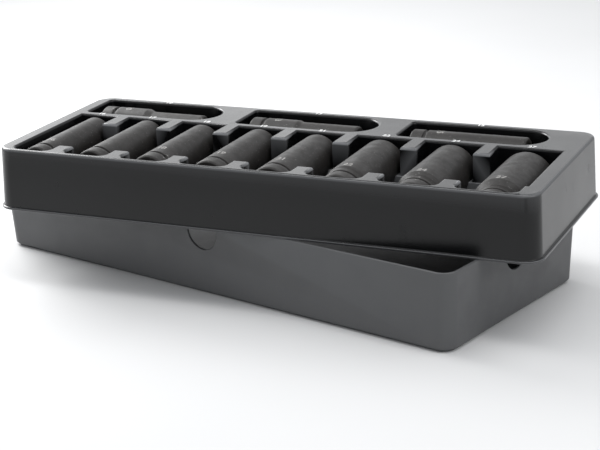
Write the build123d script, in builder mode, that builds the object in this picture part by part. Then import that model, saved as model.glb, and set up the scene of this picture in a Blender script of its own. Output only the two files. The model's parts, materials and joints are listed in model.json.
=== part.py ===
"""Socket organizer: an open drawer box, a moulded tray laid across its rim, and eleven deep sockets.

Millimetres, +Z up. The origin is the middle of the box's underside, +X runs along the box and
+Y towards its back. The tray lies turned across the rim, so its features are drawn in its own
frame: the middle of the tray, with height counted from the underside of its lip.
"""
from build123d import *
from math import cos, radians, sin
import os

os.makedirs("parts", exist_ok=True)

# ---- drawer box ----------------------------------------------------------------------------
box_length = 396.0          # outside, across the rim
box_width = 159.0           # outside, across the rim
box_height = 53.0
box_wall = 2.0
box_draft = 2.1             # each wall stands this much further in at the floor than at the rim
box_corner = 10.0           # plan radius of the rim's corners
box_base_ease = 2.5         # outside edges between the walls and the floor are eased off by this much
notch_width = 26.0          # thumb notch in the middle of each wall, round at its foot
notch_depth = 20.6

# ---- sockets -------------------------------------------------------------------------------
socket_length = 82.0
drive_square = 12.8         # half-inch square drive, with its clearance
drive_depth = 18.0
hex_play = 0.2              # the hexagon is this much wider than the nut
hex_depth = 34.0
bore_share = 0.9            # clearance bore between drive and hexagon, as a share of the nut
shoulder_at = 17.0          # where a wide body starts, from the drive end
neck_at = 36.0              # where a slim nose starts, from the drive end
neck_slope = 2.2            # length of the neck's cone for each millimetre it closes in

# nut size: body diameter, drive end diameter, nose diameter, turn about its own axis (degrees)
socket_table = {
    10: (25.0, 25.0, 21.4, 12.0),
    13: (25.0, 25.0, 22.8, 47.0),
    15: (25.0, 25.0, 25.0, 75.0),
    16: (24.0, 24.0, 24.0, 100.0),
    17: (26.0, 26.0, 26.0, 80.0),
    18: (27.0, 27.0, 27.0, 38.0),
    19: (28.0, 28.0, 28.0, 95.0),
    21: (30.0, 30.0, 30.0, 110.0),
    22: (32.0, 30.0, 32.0, 70.0),
    24: (34.0, 30.0, 34.0, 5.0),
    27: (36.5, 30.0, 36.5, 85.0),
}

# ---- organizer tray ------------------------------------------------------------------------
tray_skin = 1.8
skirt_flare = 1.3           # the skirt stands this much further out at its foot than at the top
lip_reach = 1.4             # the foot's lip stands out from the skirt by this much
lip_height = 1.6
nest_gap = 0.8              # between the lip and the inside of the box's rim, when nested
tray_corner = 12.0          # plan radius of the top's corners
tray_edge_round = 2.2       # round along the top's outer edge
under_gap = 4.25            # from the deepest cradle's underside to the foot of the tray
top_gap = 0.5               # the sockets' tops lie this much below the tray's top
cradle_gap = 0.3            # the cradle's radius is this much larger than the socket's
seat_gap = 0.05             # left under a resting socket
cradle_start = 4.0          # from the pocket's front or square end to the cradle's end
cradle_stop = 0.6           # from the front row's rear wall to the cradles' ends
ledge_depth = 20.0          # the pockets' straight walls go down to this depth
channel_depth = 30.0        # finger channel across the front row
channel_inset = 2.0         # from the pockets' walls to the deep part of the channel

side_margin = 11.2          # from the tray's ends to the rows of pockets
front_margin = 4.5
# nut size: how much wider the pocket is than the body, and the gap behind the socket's end
front_row = {
    16: (4.6, 4.0),
    17: (6.7, 1.2),
    18: (6.6, 1.2),
    19: (5.6, 1.2),
    21: (4.5, 3.2),
    22: (5.6, 4.0),
    24: (5.4, 3.0),
    27: (6.5, 5.5),
}
front_end_play = 11.5       # a front pocket is this much longer than its socket
front_tab = 15.5            # dividers reach this far from the front wall into the channel
rear_tab = 20.0             # and this far from the rear wall
front_corner = 6.0          # plan radii of the front row's corners and of the dividers' ends
front_tab_round = 3.5
rear_tab_round = 1.6
rear_corner = 2.0
end_step = 2.5              # half a divider at the last pocket's front, against the end wall

back_row = [size for size in socket_table if size not in front_row]
back_play = 11.0            # a back pocket is this much wider than its socket
back_end_play = 19.0        # and this much longer
back_start_gap = 5.5        # from the pocket's square end to the socket
back_corner = 3.0
web_share = 0.3             # of the length left over beside the back pockets, per web

# ---- placing of the tray on the box --------------------------------------------------------
tray_turn = 14.2            # degrees, seen from above
tray_shift_x = 27.6
tray_shift_y = -11.5
seat = Location((tray_shift_x, tray_shift_y, box_height), (0, 0, tray_turn))

# ---- worked out from the sizes above -------------------------------------------------------
foot_step = skirt_flare + lip_reach
rim_step = box_wall + nest_gap + foot_step
tray_length = box_length - 2 * rim_step
tray_width = box_width - 2 * rim_step
deepest = top_gap + max(socket_table[size][0] for size in front_row) + seat_gap
tray_height = deepest + tray_skin + under_gap

front_widths = [socket_table[size][0] + play for size, (play, gap) in front_row.items()]
row_length = tray_length - 2 * side_margin
divider = (row_length - sum(front_widths)) / (len(front_widths) - 1)
front_lefts = [-row_length / 2 + sum(front_widths[:i]) + i * divider for i in range(len(front_widths))]
front_length = socket_length + front_end_play
front_wall = -tray_width / 2 + front_margin
rear_wall = front_wall + front_length

back_width = max(socket_table[size][0] for size in back_row) + back_play
back_length = socket_length + back_end_play
back_spare = tray_length - side_margin - len(back_row) * back_length
back_pitch = back_length + web_share * back_spare
back_lefts = [-tray_length / 2 + side_margin + i * back_pitch for i in range(len(back_row))]
back_middle = (rear_wall + tray_width / 2) / 2
back_stop = socket_length + 2 * back_start_gap


def on_tray(plane):
    """A plane of the tray's own frame, placed where the tray lies."""
    return Plane(seat * plane.location)


def level(height):
    """Level plane at a height above the foot of the tray."""
    return on_tray(Plane.XY.offset(height))


def axis_height(size):
    """Height of a lying socket's axis above the foot of the tray."""
    return tray_height - top_gap - socket_table[size][0] / 2


def front_end(size, left, width):
    """Plane across a front socket's axis, at the front wall of its pocket, facing back."""
    middle = (left + width / 2, front_wall, axis_height(size))
    return on_tray(Plane(origin=middle, x_dir=(-1, 0, 0), z_dir=(0, 1, 0)))


def back_end(size, left):
    """Plane across a back socket's axis, at the square end of its pocket, facing right."""
    return on_tray(Plane(origin=(left, back_middle, axis_height(size)), x_dir=(0, 1, 0), z_dir=(1, 0, 0)))


front_places = zip(front_row, front_lefts, front_widths)
front_ends = {size: front_end(size, left, width) for size, left, width in front_places}
back_ends = {size: back_end(size, left) for size, left in zip(back_row, back_lefts)}


def front_outline(grow):
    """Plan of the front pockets and the channel that joins them. Grown, its corners stay square."""
    for left, width in zip(front_lefts, front_widths):
        with Locations((left, front_wall)):
            Rectangle(width, front_length, align=(Align.MIN, Align.MIN))
    with Locations((-row_length / 2, front_wall + front_tab)):
        Rectangle(row_length, front_length - front_tab - rear_tab, align=(Align.MIN, Align.MIN))
    with Locations((row_length / 2, front_wall)):
        Rectangle(end_step, front_tab, align=(Align.MAX, Align.MIN), mode=Mode.SUBTRACT)
    if grow:
        offset(amount=grow, kind=Kind.INTERSECTION)
    else:
        corner_rows = vertices().group_by(Axis.Y)
        for corners, radius in zip(corner_rows, (front_corner, front_tab_round, rear_tab_round, rear_corner)):
            fillet(corners, radius)


def back_outline(grow):
    """Plan of the back pockets, square at the left end and round at the right, grown outwards."""
    end_round = back_width / 2 + grow
    for left in back_lefts:
        round_at = left + back_length - back_width / 2
        with Locations((left - grow, back_middle)):
            Rectangle(round_at - left + grow, 2 * end_round, align=(Align.MIN, Align.CENTER))
        with Locations((round_at, back_middle)):
            Circle(end_round)
        if not grow:
            square_end = vertices().filter_by_position(Axis.X, left - 1, left + 1)
            fillet(square_end, back_corner)


def cut_pockets(grow):
    """Cut every pocket, cradle and the channel. Grown by the skin, they are the cups' outsides."""
    for outline in (front_outline, back_outline):
        with BuildSketch(level(tray_height)) as plan:
            outline(grow)
        extrude(plan.sketch, amount=-(ledge_depth + grow), mode=Mode.SUBTRACT)
    with BuildSketch(level(tray_height - ledge_depth)) as channel:
        step = channel_inset - grow
        with Locations((-row_length / 2 + step, front_wall + front_tab + step)):
            RectangleRounded(
                row_length - 2 * step,
                front_length - front_tab - rear_tab - 2 * step,
                front_corner + grow,
                align=(Align.MIN, Align.MIN),
            )
    channel_rise = channel_depth - ledge_depth + grow
    extrude(channel.sketch, amount=-channel_rise, mode=Mode.SUBTRACT)
    for ends, stop in ((front_ends, front_length - cradle_stop), (back_ends, back_stop)):
        for size, end in ends.items():
            with BuildSketch(end.offset(cradle_start - grow)) as cradle:
                with Locations((0, cradle_gap - seat_gap)):
                    Circle(socket_table[size][0] / 2 + cradle_gap + grow)
            extrude(cradle.sketch, amount=stop - cradle_start + 2 * grow, mode=Mode.SUBTRACT)


def stacked(length, width, rings):
    """A block through level rounded outlines: each ring is its plane, its step in and its corner."""
    outlines = []
    for plane, step, corner in rings:
        with BuildSketch(plane) as ring:
            RectangleRounded(length - 2 * step, width - 2 * step, corner)
        outlines.append(ring.sketch)
    loft(outlines, ruled=True)


# ---- drawer box: drafted walls, eased foot, thumb notches ------------------------------------
rim = Plane.XY.offset(box_height)
inner_draft = box_draft * (box_height - box_wall) / box_height
with BuildPart() as box_inside:
    inner_corner = box_corner - box_wall
    inside = ((Plane.XY.offset(box_wall), inner_draft, inner_corner), (rim, 0, inner_corner))
    stacked(box_length - 2 * box_wall, box_width - 2 * box_wall, inside)

with BuildPart() as drawer_box:
    foot_ring = (Plane.XY, box_draft + box_base_ease, box_corner - box_base_ease)
    eased_ring = (Plane.XY.offset(box_base_ease), box_draft, box_corner)
    stacked(box_length, box_width, (foot_ring, eased_ring, (rim, 0, box_corner)))
    add(box_inside.part, mode=Mode.SUBTRACT)
    for across, reach in ((Plane.XZ, box_width), (Plane.YZ, box_length)):
        with BuildSketch(across):
            with Locations((0, box_height - notch_depth + notch_width / 2)):
                Circle(notch_width / 2)
                Rectangle(notch_width, notch_depth, align=(Align.CENTER, Align.MIN))
        extrude(amount=reach, both=True, mode=Mode.SUBTRACT)
drawer_box.part.label = "drawer_box"
export_step(drawer_box.part, "parts/drawer_box.step")

# ---- organizer tray: one thin skin, drawn up over the pockets' cups -------------------------
foot_length = tray_length + 2 * skirt_flare
foot_width = tray_width + 2 * skirt_flare
with BuildPart() as tray_core:
    core_corner = tray_corner - tray_skin
    core_top = (level(tray_height - tray_skin), skirt_flare, core_corner)
    stacked(foot_length - 2 * tray_skin, foot_width - 2 * tray_skin, (core_top, (level(0), 0, core_corner)))
    cut_pockets(tray_skin)

with BuildPart() as organizer_tray:
    shell = [(level(0), 0, tray_corner)]
    for turn in (0, 30, 60, 90):
        drop = tray_edge_round * (1 - sin(radians(turn)))
        inset = tray_edge_round * (1 - cos(radians(turn)))
        shell.append((level(tray_height - drop), skirt_flare + inset, tray_corner - inset))
    stacked(foot_length, foot_width, shell)
    with BuildSketch(level(0)):
        RectangleRounded(foot_length + 2 * lip_reach, foot_width + 2 * lip_reach, tray_corner + lip_reach)
    extrude(amount=lip_height)
    add(tray_core.part, mode=Mode.SUBTRACT)
    cut_pockets(0.0)
organizer_tray.part.label = "organizer_tray"
export_step(organizer_tray.part, "parts/organizer_tray.step")


def socket(size, end):
    """A deep socket lying with its drive end on the plane, its axis along the plane's normal."""
    body_d, drive_d, nose_d, turn = socket_table[size]
    face = Plane(end.location * Location((0, 0, 0), (0, 0, turn)))
    along = Plane(face.origin, x_dir=face.x_dir, z_dir=-face.y_dir)
    half = [(0, 0), (drive_d / 2, 0)]
    if body_d > drive_d:
        half += [(drive_d / 2, shoulder_at), (body_d / 2, shoulder_at + (body_d - drive_d) / 2)]
    if body_d > nose_d:
        half += [(body_d / 2, neck_at), (nose_d / 2, neck_at + neck_slope * (body_d - nose_d) / 2)]
    half += [(nose_d / 2, socket_length), (0, socket_length)]
    with BuildPart() as body:
        with BuildSketch(along):
            with BuildLine():
                Polyline(half, close=True)
            make_face()
        revolve(axis=Axis(face.origin, face.z_dir))
        with BuildSketch(face):
            Rectangle(drive_square, drive_square)
        extrude(amount=drive_depth, mode=Mode.SUBTRACT)
        with BuildSketch(face):
            Circle(size * bore_share / 2)
        extrude(amount=socket_length, mode=Mode.SUBTRACT)
        with BuildSketch(face.offset(socket_length)):
            RegularPolygon((size + hex_play) / 2, 6, major_radius=False)
        extrude(amount=-hex_depth, mode=Mode.SUBTRACT)
    return body.part


# ---- sockets: drive ends to the front in the front row, to the left in the back row ----------
lying = {size: front_ends[size].offset(front_end_play - gap) for size, (play, gap) in front_row.items()}
lying.update({size: end.offset(back_start_gap) for size, end in back_ends.items()})
for size, end in lying.items():
    piece = socket(size, end)
    piece.label = f"socket_{size}"
    export_step(piece, f"parts/socket_{size}.step")
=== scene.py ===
"""Socket organizer: moulded box and tray, turned steel sockets, their numbers, and a studio.

Metres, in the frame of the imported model. The box and the tray are copies of their CAD nodes with
rounded edges. The sockets are built again from rings, with their groove and pin hole. Places come
from the frame: a socket's axis runs from its square drive to its hexagon, and the tray's own
directions follow the two rows.
"""

import json
from math import cos, pi, radians, sin

import bmesh
import bpy
from mathutils import Matrix, Vector


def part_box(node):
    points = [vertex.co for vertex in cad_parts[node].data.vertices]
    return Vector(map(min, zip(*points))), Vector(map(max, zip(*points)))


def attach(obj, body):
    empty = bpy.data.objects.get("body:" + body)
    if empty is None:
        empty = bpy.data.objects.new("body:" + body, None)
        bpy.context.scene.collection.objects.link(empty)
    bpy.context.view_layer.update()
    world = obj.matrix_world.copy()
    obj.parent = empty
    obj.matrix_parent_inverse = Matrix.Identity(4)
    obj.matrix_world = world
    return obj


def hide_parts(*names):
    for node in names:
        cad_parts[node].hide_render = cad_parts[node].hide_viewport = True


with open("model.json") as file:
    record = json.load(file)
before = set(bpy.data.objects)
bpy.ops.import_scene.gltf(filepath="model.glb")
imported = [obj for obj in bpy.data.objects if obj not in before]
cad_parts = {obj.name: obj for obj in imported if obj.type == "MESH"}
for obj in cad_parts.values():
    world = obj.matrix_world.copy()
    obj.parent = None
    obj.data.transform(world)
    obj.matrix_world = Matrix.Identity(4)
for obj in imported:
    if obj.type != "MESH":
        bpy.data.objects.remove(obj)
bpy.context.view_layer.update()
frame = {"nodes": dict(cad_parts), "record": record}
mounts = {mount["name"]: mount for mount in frame["record"]["mounts"]}
UP = Vector((0, 0, 1))
MM = 0.001

# ---- sizes ---------------------------------------------------------------------------------
ring_steps = 96             # vertices round a socket: a multiple of 24, for its square and hexagon
end_chamfer = 1.1 * MM
end_play = 1 * MM           # vertices are looked for up to this far past an end
drive_width = 12.8 * MM
drive_depth = 18 * MM
hex_play = 0.2 * MM
hex_depth = 34 * MM
mouth_depth = 1.2 * MM      # lead-in cone at each mouth
bore_share = 0.9            # the bore between the mouths, as a share of the nut size
collar_at = 8.8 * MM        # retaining ring's groove, behind the collar
groove_width = 2.8 * MM
groove_depth = 1.3 * MM
shoulder_at = 17 * MM
neck_at = 36 * MM
neck_slope = 2.2            # length of the neck's cone for each millimetre that its radius drops
step_least = 0.1 * MM       # a shoulder or a neck lower than this is left out
pin_at = collar_at + groove_width / 2
pin_radius = 2.0 * MM
pin_sides = 24
pin_field = 2.8 * MM        # plain rings stand this far each side of the pin hole's middle
hold_ring = 0.9 * MM        # extra rings stand this far from the ends of a straight stretch
hold_least = 6 * hold_ring  # on every stretch longer than this
mark_height = 4.6 * MM      # size number etched on the body
mark_behind = 3.2 * MM      # from the start of the full body to the middle of the mark

rim_round = 1.7 * MM        # round along the pockets' rims
rim_hold = 0.4 * MM         # narrow flats beside the round
rim_steps = 6
rim_weld = 0.12 * MM        # vertices of a rim nearer than this are one
plane_play = 0.02 * MM

same_point = 0.002 * MM     # a CAD node's vertices nearer than this are one
same_flat = 0.4             # degrees: its faces nearer than this are one plate
plastic_steps = 3
plastic_edge = 35           # degrees: sharper edges of the plastic are rounded
plastic_crease = 40         # degrees: and those still sharper afterwards are shaded crisp
box_round = 0.6 * MM
box_round_room = 21 * MM    # from the box's rim down to its lowest rounded edge
lip_round = 0.55 * MM
lip_round_room = 3 * MM     # from the tray's foot up to its highest rounded edge
steel_steps = 2
steel_edge = 28             # degrees: sharper edges of the steel are rounded
steel_crease = 35           # degrees: and those still sharper afterwards are shaded crisp
steel_round = 0.22 * MM

number_height = 3.8 * MM
number_lift = 0.04 * MM
number_scale = 1.42         # font size for a height of one
number_weight = 0.12 * MM   # strokes are this much wider on each side
print_room = 0.06 * MM      # the tray's top lies this much lower, so the print stays inside the CAD box
web_line = 28.2 * MM        # numbers of the front row, from the tray's middle towards its back
edge_line = 69.9 * MM       # numbers of the back row
edge_shift = 1.5 * MM       # and how far they stand off their sockets' middles

# degrees that each socket is turned about its own axis
turns = {10: 12, 13: 47, 15: 75, 16: 100, 17: 80, 18: 38, 19: 95, 21: 110, 22: 70, 24: 5, 27: 85}
back_row = (10, 13, 15)


# ---- shading helpers -----------------------------------------------------------------------
class Shader:
    """A node material that is built up by name."""

    def __init__(self, name):
        self.material = bpy.data.materials.new(name)
        self.material.use_nodes = True
        self.tree = self.material.node_tree
        self.surface = self.tree.nodes["Principled BSDF"]
        self.place = self.node("ShaderNodeTexCoord").outputs["Object"]

    def node(self, kind, **settings):
        made = self.tree.nodes.new(kind)
        for key, value in settings.items():
            setattr(made, key, value)
        return made

    def link(self, output, socket):
        self.tree.links.new(output, socket)

    def noise(self, scale, detail=3.0, rough=0.5, stretch=(1, 1, 1)):
        """Cloudy noise, its features about 1/scale metres wide."""
        mapping = self.node("ShaderNodeMapping")
        mapping.inputs["Scale"].default_value = stretch
        self.link(self.place, mapping.inputs["Vector"])
        noise = self.node("ShaderNodeTexNoise")
        noise.inputs["Scale"].default_value = scale
        noise.inputs["Detail"].default_value = detail
        noise.inputs["Roughness"].default_value = rough
        self.link(mapping.outputs[0], noise.inputs["Vector"])
        return noise.outputs["Fac"]

    def ramp(self, factor, *stops):
        """Colours or grey values along a factor, between two stops of (position, value)."""
        ramp = self.node("ShaderNodeValToRGB")
        for element, (position, value) in zip(ramp.color_ramp.elements, stops):
            colour = (value, value, value) if isinstance(value, (int, float)) else value
            element.position = position
            element.color = (*colour, 1)
        self.link(factor, ramp.inputs["Fac"])
        return ramp.outputs["Color"]

    def edges(self, low, high):
        """0 on flats and 1 on outside edges: the mask for the painted edge highlights."""
        pointed = self.node("ShaderNodeNewGeometry").outputs["Pointiness"]
        return self.ramp(pointed, (low, 0.0), (high, 1.0))

    def mix(self, factor, low, high):
        """From an output to a plain colour, along a factor."""
        mix = self.node("ShaderNodeMix", data_type="RGBA")
        self.link(factor, mix.inputs[0])
        self.link(low, mix.inputs[6])
        mix.inputs[7].default_value = (*high, 1)
        return mix.outputs[2]

    def colour(self, output):
        self.link(output, self.surface.inputs["Base Color"])

    def roughness(self, output):
        self.link(output, self.surface.inputs["Roughness"])

    def bump(self, *layers):
        """Stack bumps: each layer is (height output, depth in metres)."""
        normal = None
        for height, depth in layers:
            bump = self.node("ShaderNodeBump")
            bump.inputs["Strength"].default_value = 1.0
            bump.inputs["Distance"].default_value = depth
            self.link(height, bump.inputs["Height"])
            if normal:
                self.link(normal, bump.inputs["Normal"])
            normal = bump.outputs["Normal"]
        self.link(normal, self.surface.inputs["Normal"])


def tray_plastic():
    """Thermoformed sheet: near-black, glossy, gently wavy, with dull handled patches and a painted highlight
    along its outside edges.
    """
    shader = Shader("tray_plastic")
    patches = shader.noise(14, 4, 0.55)
    body = shader.ramp(patches, (0.35, (0.0028, 0.0029, 0.0032)), (0.7, (0.0044, 0.0046, 0.0050)))
    # painted highlight: outside edges lightened to pale grey, standing in for light caught by the rounded
    # rims
    shader.colour(shader.mix(shader.edges(0.515, 0.58), body, (0.20, 0.203, 0.21)))
    gloss = shader.ramp(patches, (0.38, 0.19), (0.66, 0.24))
    scuffs = shader.ramp(shader.noise(95, 5, 0.62, (1, 1, 0.35)), (0.60, 0.0), (0.78, 1.0))
    shader.roughness(shader.mix(scuffs, gloss, (0.34, 0.34, 0.34)))
    shader.surface.inputs["IOR"].default_value = 1.40
    shader.bump((shader.noise(22, 2, 0.4), 0.0004), (shader.noise(1500, 3, 0.6), 0.00003))
    return shader.material


def box_plastic():
    """Injection-moulded box: dark grey with a fine matte grain, faint flow marks and a painted highlight
    along its outside edges.
    """
    shader = Shader("box_plastic")
    flow = shader.noise(9, 4, 0.5, (0.4, 0.4, 1.6))
    body = shader.ramp(flow, (0.3, (0.064, 0.0647, 0.066)), (0.7, (0.079, 0.080, 0.082)))
    # painted highlight: outside edges a little lighter than the body
    shader.colour(shader.mix(shader.edges(0.515, 0.58), body, (0.085, 0.087, 0.09)))
    shader.roughness(shader.ramp(shader.noise(60, 4, 0.6), (0.35, 0.42), (0.7, 0.56)))
    shader.bump((shader.noise(12, 2, 0.4), 0.0004), (shader.noise(1900, 3, 0.65), 0.00006))
    return shader.material


def socket_steel():
    """Black phosphate on steel: dark warm grey, dusty flecks, and a painted highlight along its edges."""
    shader = Shader("socket_steel")
    cloud = shader.noise(70, 5, 0.6)
    body = shader.ramp(cloud, (0.3, (0.0150, 0.0136, 0.0127)), (0.72, (0.0260, 0.0238, 0.0222)))
    flecks = shader.ramp(shader.noise(900, 2, 0.5), (0.66, 0.0), (0.74, 1.0))
    dusty = shader.mix(flecks, body, (0.12, 0.118, 0.115))
    # painted highlight: outside edges lightened, standing in for light caught by the edges of the steel
    shader.colour(shader.mix(shader.edges(0.52, 0.60), dusty, (0.16, 0.155, 0.15)))
    shader.roughness(shader.ramp(shader.noise(160, 4, 0.6), (0.3, 0.40), (0.7, 0.58)))
    shader.surface.inputs["Specular IOR Level"].default_value = 0.3
    shader.bump((shader.noise(1300, 4, 0.65), 0.00004))
    return shader.material


def print_white():
    """Pad-printed ink, slightly worn."""
    shader = Shader("print_white")
    worn = shader.noise(1200, 3, 0.6)
    shader.colour(shader.ramp(worn, (0.3, (0.55, 0.55, 0.54)), (0.6, (0.82, 0.82, 0.81))))
    shader.roughness(shader.ramp(shader.noise(600), (0.3, 0.45), (0.7, 0.62)))
    return shader.material


def etched_grey():
    """Laser-etched steel: matt light grey, broken up by the dark finish round it."""
    shader = Shader("etched_grey")
    broken = shader.noise(1400, 3, 0.6)
    shader.colour(shader.ramp(broken, (0.3, (0.08, 0.078, 0.075)), (0.55, (0.34, 0.33, 0.316))))
    shader.roughness(shader.ramp(shader.noise(700), (0.3, 0.5), (0.7, 0.7)))
    return shader.material


# ---- mesh helpers --------------------------------------------------------------------------
def piece_from(name, mesh, material, body, *nodes):
    """A piece that rides on a body and may stand for CAD nodes."""
    piece = bpy.data.objects.new(name, mesh)
    bpy.context.scene.collection.objects.link(piece)
    mesh.materials.clear()
    mesh.materials.append(material)
    mesh.polygons.foreach_set("use_smooth", [True] * len(mesh.polygons))
    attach(piece, body)
    if nodes:
        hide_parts(*nodes)
    return piece


def rounded(piece, width, segments, least_angle, low=0.0, high=1.0):
    """Round the edges sharper than an angle that lie between two heights."""
    work = bmesh.new()
    work.from_mesh(piece.data)
    weights = work.edges.layers.float.new("bevel_weight_edge")
    for edge in work.edges:
        if edge.calc_face_angle(0.0) > radians(least_angle):
            edge[weights] = float(all(low < vertex.co.z < high for vertex in edge.verts))
    work.to_mesh(piece.data)
    work.free()
    bevel = piece.modifiers.new("rounds", "BEVEL")
    bevel.width = width
    bevel.segments = segments
    bevel.limit_method = "WEIGHT"
    bevel.use_clamp_overlap = False
    bevel.miter_outer = "MITER_ARC"


def shaded(piece, least_angle):
    """Smooth shading that keeps large flats flat and edges sharper than an angle crisp."""
    piece.data.set_sharp_from_angle(angle=radians(least_angle))
    flats_first = piece.modifiers.new("flats_first", "WEIGHTED_NORMAL")
    flats_first.keep_sharp = True


def clean_copy(node, name, plates=False):
    """A node's mesh welded, and with plates, one face for each flat in place of its triangles."""
    source = frame["nodes"][node].data
    mesh = bpy.data.meshes.new(name)
    mesh.from_pydata([v.co for v in source.vertices], [], [tuple(p.vertices) for p in source.polygons])
    work = bmesh.new()
    work.from_mesh(mesh)
    bmesh.ops.remove_doubles(work, verts=work.verts, dist=same_point)
    if plates:
        bmesh.ops.dissolve_limit(work, angle_limit=radians(same_flat), verts=work.verts, edges=work.edges)
    work.to_mesh(mesh)
    work.free()
    return mesh


def without_plate(work, top):
    """Delete the faces in the top plane: leaves the rims over steep walls, and the other borders."""
    plate = [face for face in work.faces if all(vertex.co.z > top - plane_play for vertex in face.verts)]
    bmesh.ops.delete(work, geom=plate, context="FACES")
    borders = [edge for edge in work.edges if edge.is_boundary]
    rims = [edge for edge in borders if abs(edge.link_faces[0].normal.z) < 0.5]
    return rims, [edge for edge in borders if edge not in rims]


def slides(rims):
    """For each vertex of the rims, the level step that takes both its edges one unit off their walls."""
    away = {}
    for edge in rims:
        wall = edge.link_faces[0].normal
        for vertex in edge.verts:
            away.setdefault(vertex, []).append(-Vector((wall.x, wall.y, 0)).normalized())
    return {vertex: (walls[0] + walls[-1]) / (1 + walls[0].dot(walls[-1])) for vertex, walls in away.items()}


def quarter_round():
    """A rim's section from its wall to its flat: steps outward, and down from the top."""
    profile = []
    for step in range(rim_steps + 1):
        turn = radians(90) * step / rim_steps
        profile.append((rim_round * (1 - cos(turn)), rim_round * (1 - sin(turn))))
    return profile + [(rim_round + rim_hold, 0)]


def roll_rims(mesh):
    """Turn the pockets' square rims in the top plane into quarter rounds."""
    work = bmesh.new()
    work.from_mesh(mesh)
    cad_top = max(vertex.co.z for vertex in work.verts)
    top = cad_top - print_room
    highest = [vertex for vertex in work.verts if vertex.co.z > cad_top - plane_play]
    for vertex in highest:
        vertex.co.z = top
    bmesh.ops.remove_doubles(work, verts=highest, dist=rim_weld)
    work.normal_update()
    rims, others = without_plate(work, top)
    slide = slides(rims)
    square = {vertex: vertex.co.copy() for vertex in slide}
    for vertex in slide:
        vertex.co.z = top - rim_round - rim_hold
    ring = {vertex: vertex for vertex in slide}
    for outward, drop in quarter_round():
        onward = {vertex: work.verts.new(corner + slide[vertex] * outward - UP * drop)
                  for vertex, corner in square.items()}
        for edge in rims:
            start, end = edge.verts
            work.faces.new((ring[start], ring[end], onward[end], onward[start]))
        ring = onward
    inner = [work.edges.get([ring[vertex] for vertex in edge.verts]) for edge in rims]
    bmesh.ops.triangle_fill(work, use_beauty=True, use_dissolve=False, edges=inner + others, normal=UP)
    bmesh.ops.recalc_face_normals(work, faces=work.faces)
    work.to_mesh(mesh)
    work.free()


def number_mesh(size, height):
    """A flat size number about its own middle, reading along X."""
    text = bpy.data.curves.new(f"number_{size}", "FONT")
    text.body = str(size)
    text.size = height * number_scale
    text.align_x = "CENTER"
    text.align_y = "CENTER"
    text.offset = number_weight
    text.extrude = number_lift / 4
    carrier = bpy.data.objects.new(f"number_{size}_text", text)
    bpy.context.scene.collection.objects.link(carrier)
    mesh = bpy.data.meshes.new_from_object(carrier.evaluated_get(bpy.context.evaluated_depsgraph_get()))
    bpy.data.objects.remove(carrier)
    return mesh


# ---- sockets -------------------------------------------------------------------------------
class Stock:
    """One socket's line between its two mounts, its radii, and its turn about that line."""

    def __init__(self, size):
        self.size = size
        self.node = f"socket_{size}"
        self.origin = Vector(mounts[f"square_{size}"]["pos_m"])
        end = Vector(mounts[f"hex_{size}"]["pos_m"])
        self.middle = (self.origin + end) / 2
        self.axis = (end - self.origin).normalized()
        self.length = (end - self.origin).length
        self.side = UP.cross(self.axis)
        self.turn = radians(turns[size])
        self.drive_r = self.reach(-end_play, end_play)
        self.nose_r = self.reach(self.length - end_play, self.length + end_play)
        self.body_r = self.reach(0, self.length)

    def reach(self, low, high):
        """Largest distance from the axis among the CAD node's vertices between two stations."""
        far = 0.0
        for vertex in frame["nodes"][self.node].data.vertices:
            arm = vertex.co - self.origin
            station = arm.dot(self.axis)
            if low <= station <= high:
                far = max(far, (arm - self.axis * station).length)
        return round(far, 5)

    def around(self, angle):
        """The direction at an angle about the axis."""
        return self.side * cos(angle + self.turn) + UP * sin(angle + self.turn)

    def outer_rings(self):
        """From the drive's end to the nose's end: station, radius and number of sides."""
        drive_r, body_r, nose_r = self.drive_r, self.body_r, self.nose_r
        groove_end = collar_at + groove_width
        groove_foot = groove_depth / 3
        rings = [(0, drive_r - end_chamfer, 0), (end_chamfer, drive_r, 0), (pin_at - pin_field, drive_r, 0)]
        rings += [(collar_at, drive_r, 0), (collar_at + groove_foot, drive_r - groove_depth, 0)]
        rings += [(groove_end - groove_foot, drive_r - groove_depth, 0), (groove_end, drive_r, 0)]
        rings += [(pin_at + pin_field, drive_r, 0)]
        if body_r > drive_r + step_least:
            rings += [(shoulder_at, drive_r, 0), (shoulder_at + body_r - drive_r, body_r, 0)]
        if body_r > nose_r + step_least:
            rings += [(neck_at, body_r, 0), (neck_at + neck_slope * (body_r - nose_r), nose_r, 0)]
        return rings + [(self.length - end_chamfer, nose_r, 0), (self.length, nose_r - end_chamfer, 0)]

    def inner_rings(self):
        """Back from the hexagon's mouth, through the bore, to the square's mouth."""
        bore_r = bore_share * self.size * MM / 2
        hexagon = (self.size * MM + hex_play) / 2
        hex_corner = hexagon / cos(pi / 6)
        hex_end = self.length - hex_depth
        rings = [(self.length, hex_corner + mouth_depth / 4, 0), (self.length - mouth_depth, hexagon, 6)]
        rings += [(hex_end, hexagon, 6), (hex_end, bore_r, 0), (drive_depth, bore_r, 0)]
        rings += [(drive_depth, drive_width / 2, 4), (mouth_depth / 2, drive_width / 2, 4)]
        return rings + [(0, (drive_width + mouth_depth) / 2, 4)]


def outline(radius, sides, angle):
    """Radius at an angle: of a circle, or of a regular outline, from the middle of one of its flats."""
    if not sides:
        return radius
    step = 2 * pi / sides
    return radius / cos((angle + step / 2) % step - step / 2)


def held(rings):
    """The rings with two more on each long straight stretch, close to its ends."""
    filled = []
    for (station, radius, sides), following in zip(rings, rings[1:] + rings[:1]):
        filled.append((station, radius, sides))
        stretch = following[0] - station
        if following[1:] == (radius, sides) and abs(stretch) > hold_least:
            back = hold_ring if stretch > 0 else -hold_ring
            filled += [(station + back, radius, sides), (following[0] - back, radius, sides)]
    return filled


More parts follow.
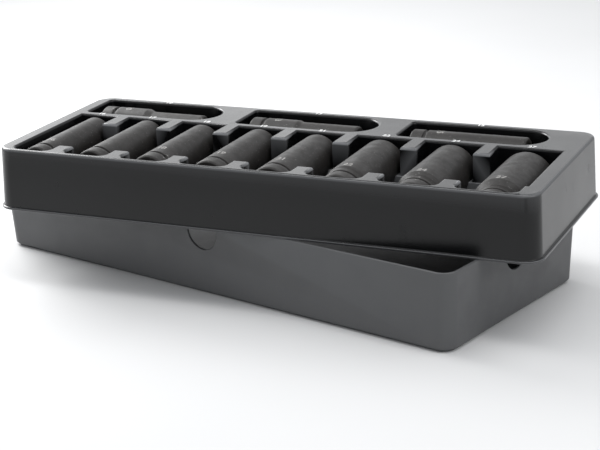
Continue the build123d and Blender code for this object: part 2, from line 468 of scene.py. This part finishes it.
def turned_mesh(stock):
    """A socket's whole surface as one closed string of rings."""
    work = bmesh.new()
    loops = []
    for station, radius, sides in held(stock.outer_rings() + stock.inner_rings()):
        loop = []
        for step in range(ring_steps):
            angle = 2 * pi * step / ring_steps
            arm = stock.around(angle) * outline(radius, sides, angle)
            loop.append(work.verts.new(stock.origin + stock.axis * station + arm))
        loops.append(loop)
    for loop, following in zip(loops, loops[1:] + loops[:1]):
        for step in range(ring_steps):
            onward = (step + 1) % ring_steps
            work.faces.new((loop[step], loop[onward], following[onward], following[step]))
    bmesh.ops.recalc_face_normals(work, faces=work.faces)
    mesh = bpy.data.meshes.new(f"{stock.node}_turned")
    work.to_mesh(mesh)
    work.free()
    return mesh


def pin_drill(stock):
    """A rod that reaches through both walls at the pin hole."""
    mesh = bpy.data.meshes.new("pin_drill")
    work = bmesh.new()
    middle = stock.origin + stock.axis * pin_at
    facing = stock.around(pi / 2).to_track_quat("Z", "Y").to_matrix().to_4x4()
    bmesh.ops.create_cone(work, cap_ends=True, segments=pin_sides, radius1=pin_radius, radius2=pin_radius,
                          depth=4 * stock.drive_r, matrix=Matrix.Translation(middle) @ facing)
    work.to_mesh(mesh)
    work.free()
    rod = bpy.data.objects.new("pin_drill", mesh)
    bpy.context.scene.collection.objects.link(rod)
    return rod


def socket(stock, material):
    """One deep socket with its groove, its pin hole and both mouths."""
    piece = piece_from(f"{stock.node}_turned", turned_mesh(stock), material, stock.node, stock.node)
    rounded(piece, steel_round, steel_steps, steel_edge)
    rod = pin_drill(stock)
    cut = piece.modifiers.new("pin_hole", "BOOLEAN")
    cut.operation = "DIFFERENCE"
    cut.object = rod
    drilled = bpy.data.meshes.new_from_object(piece.evaluated_get(bpy.context.evaluated_depsgraph_get()))
    piece.modifiers.clear()
    piece.data = drilled
    bpy.data.objects.remove(rod)
    drilled.polygons.foreach_set("use_smooth", [True] * len(drilled.polygons))
    drilled.set_sharp_from_angle(angle=radians(steel_crease))


def etched_number(stock, material):
    """The size number wrapped round the top of the body."""
    station = shoulder_at + stock.body_r - stock.drive_r + mark_behind
    mesh = number_mesh(stock.size, mark_height)
    for vertex in mesh.vertices:
        angle = -vertex.co.x / stock.body_r
        outward = UP * cos(angle) + stock.side * sin(angle)
        lift = stock.body_r + number_lift + vertex.co.z
        vertex.co = stock.origin + stock.axis * (station + vertex.co.y) + outward * lift
    piece_from(f"mark_{stock.size}", mesh, material, stock.node)


def printed_number(stock, material):
    """The size number on the tray's top beside its socket, reading along the tray."""
    line, shift = (edge_line, edge_shift) if stock.size in back_row else (web_line, 0)
    place = tray_middle + along * ((stock.middle - tray_middle).dot(along) + shift) + over * line
    place.z = tray_high.z - print_room + number_lift
    mesh = number_mesh(stock.size, number_height)
    turn = Matrix((along, over, UP)).transposed().to_4x4()
    mesh.transform(Matrix.Translation(place) @ turn)
    piece_from(f"number_{stock.size}", mesh, material, "organizer_tray")


# ---- the object ----------------------------------------------------------------------------
plastic = tray_plastic()
steel = socket_steel()
ink = print_white()
etching = etched_grey()
box_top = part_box("drawer_box")[1][2]
box_mesh = clean_copy("drawer_box", "drawer_box_moulded", plates=True)
box = piece_from("drawer_box_moulded", box_mesh, box_plastic(), "drawer_box", "drawer_box")
rounded(box, box_round, plastic_steps, plastic_edge, box_top - box_round_room, box_top + end_play)
shaded(box, plastic_crease)

tray_low, tray_high = (Vector(corner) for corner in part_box("organizer_tray"))
tray_mesh = clean_copy("organizer_tray", "tray_formed")
roll_rims(tray_mesh)
tray = piece_from("tray_formed", tray_mesh, plastic, "organizer_tray", "organizer_tray")
rounded(tray, lip_round, plastic_steps, plastic_edge, tray_low.z - end_play, tray_low.z + lip_round_room)
shaded(tray, plastic_crease)

along = Vector(mounts["hex_10"]["axis"])
over = Vector(mounts["hex_16"]["axis"])
tray_middle = (tray_low + tray_high) / 2
for size in turns:
    stock = Stock(size)
    socket(stock, steel)
    etched_number(stock, etching)
    printed_number(stock, ink)


# ---- studio --------------------------------------------------------------------------------
floor_reach = 6
floor_drop = 0.2 * MM
film_width = 36


def floor():
    """A wide pale floor."""
    mesh = bpy.data.meshes.new("floor")
    corners = [(x * floor_reach, y * floor_reach, 0) for x, y in ((-1, -1), (1, -1), (1, 1), (-1, 1))]
    mesh.from_pydata(corners, [], [(0, 1, 2, 3)])
    shader = Shader("floor_pale")
    shader.colour(shader.ramp(shader.noise(3), (0.2, 0.62), (0.8, 0.66)))
    shader.surface.inputs["Roughness"].default_value = 0.9
    mesh.materials.append(shader.material)
    ground = bpy.data.objects.new("floor", mesh)
    ground.location.z = -floor_drop
    bpy.context.scene.collection.objects.link(ground)


def panel(name, place, target, width, height, power):
    """A soft light panel that faces a point."""
    light = bpy.data.lights.new(name, "AREA")
    light.shape = "RECTANGLE"
    light.size = width
    light.size_y = height
    light.energy = power
    lamp = bpy.data.objects.new(name, light)
    lamp.location = place
    lamp.rotation_euler = (Vector(target) - Vector(place)).to_track_quat("-Z", "Y").to_euler()
    lamp.visible_camera = False
    bpy.context.scene.collection.objects.link(lamp)


# viewing angle of the photograph: turned left, tipped down, rolled a little
view_turn = radians(39.04)
view_tip = radians(-18.68)
view_roll = radians(-2.55)
camera_place = Vector((0.7013, -0.8387, 0.3957))
lens_per_width = 1625.1 / 600    # focal length over the width of the picture

forward = Vector((-sin(view_turn) * cos(view_tip), cos(view_turn) * cos(view_tip), sin(view_tip)))
level = Vector((cos(view_turn), sin(view_turn), 0))
above = level.cross(forward)
right = level * cos(view_roll) + above * sin(view_roll)
camera_up = above * cos(view_roll) - level * sin(view_roll)
camera = bpy.data.cameras.new("camera")
camera.sensor_width = film_width
camera.lens = film_width * lens_per_width
camera.clip_start = 0.01
camera_object = bpy.data.objects.new("camera", camera)
pose = Matrix((right, camera_up, -forward)).transposed().to_4x4()
camera_object.matrix_world = Matrix.Translation(camera_place) @ pose
bpy.context.scene.collection.objects.link(camera_object)
bpy.context.scene.camera = camera_object

floor()
panel("back_panel", (-1.0, 1.25, 0.6), (0, 0, 0.08), 2.3, 0.75, 3.4)
panel("mid_panel", (-1.2, 0.98, 0.6), (0, 0, 0.08), 0.9, 0.7, 1.1)
panel("left_panel", (-1.4, 0.66, 0.6), (0, 0, 0.08), 0.7, 0.7, 0.9)
panel("socket_panel", (-0.8, 0.1, 0.55), (-0.15, 0, 0.08), 0.5, 0.5, 9)
panel("top_strip", (0, -0.1, 1.2), (0, 0, 0), 1.8, 0.3, 9)
panel("floor_panel", (0.75, 0.55, 0.9), (0.75, 0.55, 0), 0.8, 0.8, 1)
panel("right_panel", (1.3, 0.0, 0.7), (0.2, 0, 0.03), 0.6, 0.6, 3)
world = bpy.data.worlds.new("studio")
world.use_nodes = True
background = world.node_tree.nodes["Background"].inputs
background["Color"].default_value = (0.9, 0.92, 0.95, 1)
background["Strength"].default_value = 0.72
bpy.context.scene.world = world
bpy.context.scene.view_settings.view_transform = "Standard"
